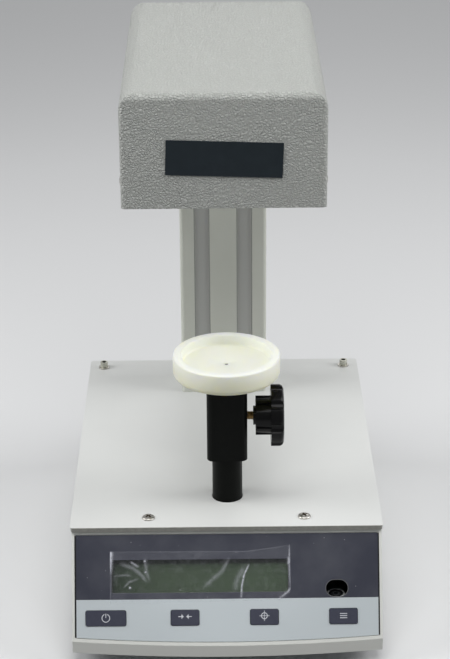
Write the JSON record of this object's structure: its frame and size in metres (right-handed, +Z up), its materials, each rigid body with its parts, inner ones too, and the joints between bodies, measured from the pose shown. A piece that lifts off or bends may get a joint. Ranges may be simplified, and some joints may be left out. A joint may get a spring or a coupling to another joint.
{
  "type": "surface tensiometer",
  "caption": "Bench surface tensiometer: sloping keyed base with display, motor-lifted tray on a clamped post, and a force sensor with hook in a head on a column.",
  "frame": {"origin": "on the bench, under the middle of the instrument's outline", "axes": "+Z up, +X to the right seen from the keys, +Y to the rear"},
  "size_m": [0.21, 0.3058, 0.3835],
  "materials": {
    "body_paint": "pale grey paint, satin",
    "plate_paint": "pale grey-white paint, fine satin",
    "cover_paint": "pale grey, fine leather grain",
    "column_paint": "pale grey powder coat over an extrusion",
    "zinc_steel": "zinc plated",
    "steel_screws": "nickel plated",
    "dark_steel": "blackened",
    "ground_steel": "ground",
    "bright_wire": "bright",
    "bright_ring": "bright",
    "brass": "turned",
    "bronze": "turned",
    "overlay": "printed film, satin, dark field above and pale field below",
    "clear_pane": "clear",
    "clear_film": "thin clear film, creased",
    "display": "dark olive-green liquid-crystal glass",
    "circuit_board": "solder resist",
    "black_moulding": "moulded",
    "motor_case": "black",
    "name_plate": "near-black film, bare",
    "bare_aluminium": "milled",
    "black_anodised": "black anodised",
    "knob_black": "moulded, glossy",
    "nylon": "turned, translucent cream",
    "keys": "printed dark navy, satin",
    "level_liquid": "liquid under glass",
    "foot_rubber": "moulded"
  },
  "bodies": {
    "instrument": {"base_body": "body_paint", "bottom_plate": "zinc_steel", "bottom_screws": "steel_screws", "pillars": "zinc_steel", "foot_inserts": "brass", "top_plate": "plate_paint", "plate_screws": "steel_screws", "rear_screws": "dark_steel", "rear_washers": "steel_screws", "front_overlay": "overlay", "sight_ring": "bright_ring", "display_window": "clear_pane", "lcd_module": "display", "display_film": "clear_film", "key_board": "circuit_board", "key_switches": "black_moulding", "level_cup": "zinc_steel", "level_glass": "level_liquid", "level_bracket": "zinc_steel", "main_board": "circuit_board", "board_standoffs": "brass", "dc_socket": "black_moulding", "lift_motor": "motor_case", "lift_frame": "zinc_steel", "guide_bush": "bronze", "column": "column_paint", "column_bolts": "steel_screws", "head_plate": "zinc_steel", "head_bolts": "steel_screws", "head_cover": "cover_paint", "cover_screws": "steel_screws", "name_plate": "name_plate", "sensor_mount": "bare_aluminium", "force_sensor": "bare_aluminium", "hook_arm": "zinc_steel"},
    "lift": {"lift_post": "black_anodised", "lift_nut": "brass"},
    "lift_screw": {"lead_screw": "ground_steel"},
    "block": {"clamp_block": "black_anodised", "tray": "nylon", "tray_stud": "dark_steel"},
    "clamp_tip": {"clamp_pad": "brass"},
    "knob": {"clamp_knob": "knob_black", "clamp_screw": "brass"},
    "power_key": {"key_power": "keys"},
    "tare_key": {"key_tare": "keys"},
    "cal_key": {"key_cal": "keys"},
    "mode_key": {"key_mode": "keys"},
    "hook": {"plate_hook": "bright_wire"},
    "pad_fl": {"foot_pad_fl": "foot_rubber"},
    "stud_fl": {"foot_stud_fl": "zinc_steel"},
    "pad_fr": {"foot_pad_fr": "foot_rubber"},
    "stud_fr": {"foot_stud_fr": "zinc_steel"},
    "pad_rl": {"foot_pad_rl": "foot_rubber"},
    "stud_rl": {"foot_stud_rl": "zinc_steel"},
    "pad_rr": {"foot_pad_rr": "foot_rubber"},
    "stud_rr": {"foot_stud_rr": "zinc_steel"}
  },
  "joints": [
    {"name": "lift_slide", "type": "slide", "parent": "instrument", "child": "lift", "axis": [0, 0, 1], "range_m": [0, 0.022]},
    {"name": "lift_turn", "type": "hinge", "parent": "instrument", "child": "lift_screw", "pos_m": [0.001, -0.07065, 0.088], "axis": [0, 0, 1], "range_deg": [-3960, 0]},
    {"name": "block_slide", "type": "slide", "parent": "lift", "child": "block", "axis": [0, 0, 1], "range_m": [-0.01, 0.01]},
    {"name": "clamp_slide", "type": "slide", "parent": "block", "child": "clamp_tip", "axis": [1, 0, 0], "range_m": [0, 0.003]},
    {"name": "clamp_turn", "type": "hinge", "parent": "clamp_tip", "child": "knob", "pos_m": [0.001, -0.07065, 0.1492], "axis": [1, 0, 0], "range_deg": [0, 1080]},
    {"name": "hook_swing", "type": "hinge", "parent": "instrument", "child": "hook", "pos_m": [0.001, -0.07065, 0.319], "axis": [1, 0, 0], "range_deg": [-20, 20]},
    {"name": "power_press", "type": "slide", "parent": "instrument", "child": "power_key", "axis": [0, 0.8693, -0.4944], "range_m": [0, 0.0004], "stiffness_N_per_m": 1500, "springref_m": -0.0003},
    {"name": "tare_press", "type": "slide", "parent": "instrument", "child": "tare_key", "axis": [0, 0.8693, -0.4944], "range_m": [0, 0.0004], "stiffness_N_per_m": 1500, "springref_m": -0.0003},
    {"name": "cal_press", "type": "slide", "parent": "instrument", "child": "cal_key", "axis": [0, 0.8693, -0.4944], "range_m": [0, 0.0004], "stiffness_N_per_m": 1500, "springref_m": -0.0003},
    {"name": "mode_press", "type": "slide", "parent": "instrument", "child": "mode_key", "axis": [0, 0.8693, -0.4944], "range_m": [0, 0.0004], "stiffness_N_per_m": 1500, "springref_m": -0.0003},
    {"name": "pad_slide_fl", "type": "slide", "parent": "instrument", "child": "pad_fl", "axis": [0, 0, 1], "range_m": [-0.005, 0.002]},
    {"name": "stud_turn_fl", "type": "hinge", "parent": "pad_fl", "child": "stud_fl", "pos_m": [-0.087, -0.09315, 0], "axis": [0, 0, 1], "range_deg": [-1440, 576]},
    {"name": "pad_slide_fr", "type": "slide", "parent": "instrument", "child": "pad_fr", "axis": [0, 0, 1], "range_m": [-0.005, 0.002]},
    {"name": "stud_turn_fr", "type": "hinge", "parent": "pad_fr", "child": "stud_fr", "pos_m": [0.087, -0.09315, 0], "axis": [0, 0, 1], "range_deg": [-1440, 576]},
    {"name": "pad_slide_rl", "type": "slide", "parent": "instrument", "child": "pad_rl", "axis": [0, 0, 1], "range_m": [-0.005, 0.002]},
    {"name": "stud_turn_rl", "type": "hinge", "parent": "pad_rl", "child": "stud_rl", "pos_m": [-0.087, 0.12285, 0], "axis": [0, 0, 1], "range_deg": [-1440, 576]},
    {"name": "pad_slide_rr", "type": "slide", "parent": "instrument", "child": "pad_rr", "axis": [0, 0, 1], "range_m": [-0.005, 0.002]},
    {"name": "stud_turn_rr", "type": "hinge", "parent": "pad_rr", "child": "stud_rr", "pos_m": [0.087, 0.12285, 0], "axis": [0, 0, 1], "range_deg": [-1440, 576]}
  ],
  "couplings": [
    {"joint": "lift_turn", "follows": "lift_slide", "rad_per_m": -3141.6},
    {"joint": "clamp_turn", "follows": "clamp_slide", "rad_per_m": 6283.2},
    {"joint": "stud_turn_fl", "follows": "pad_slide_fl", "rad_per_m": 5026.5},
    {"joint": "stud_turn_fr", "follows": "pad_slide_fr", "rad_per_m": 5026.5},
    {"joint": "stud_turn_rl", "follows": "pad_slide_rl", "rad_per_m": 5026.5},
    {"joint": "stud_turn_rr", "follows": "pad_slide_rr", "rad_per_m": 5026.5}
  ]
}
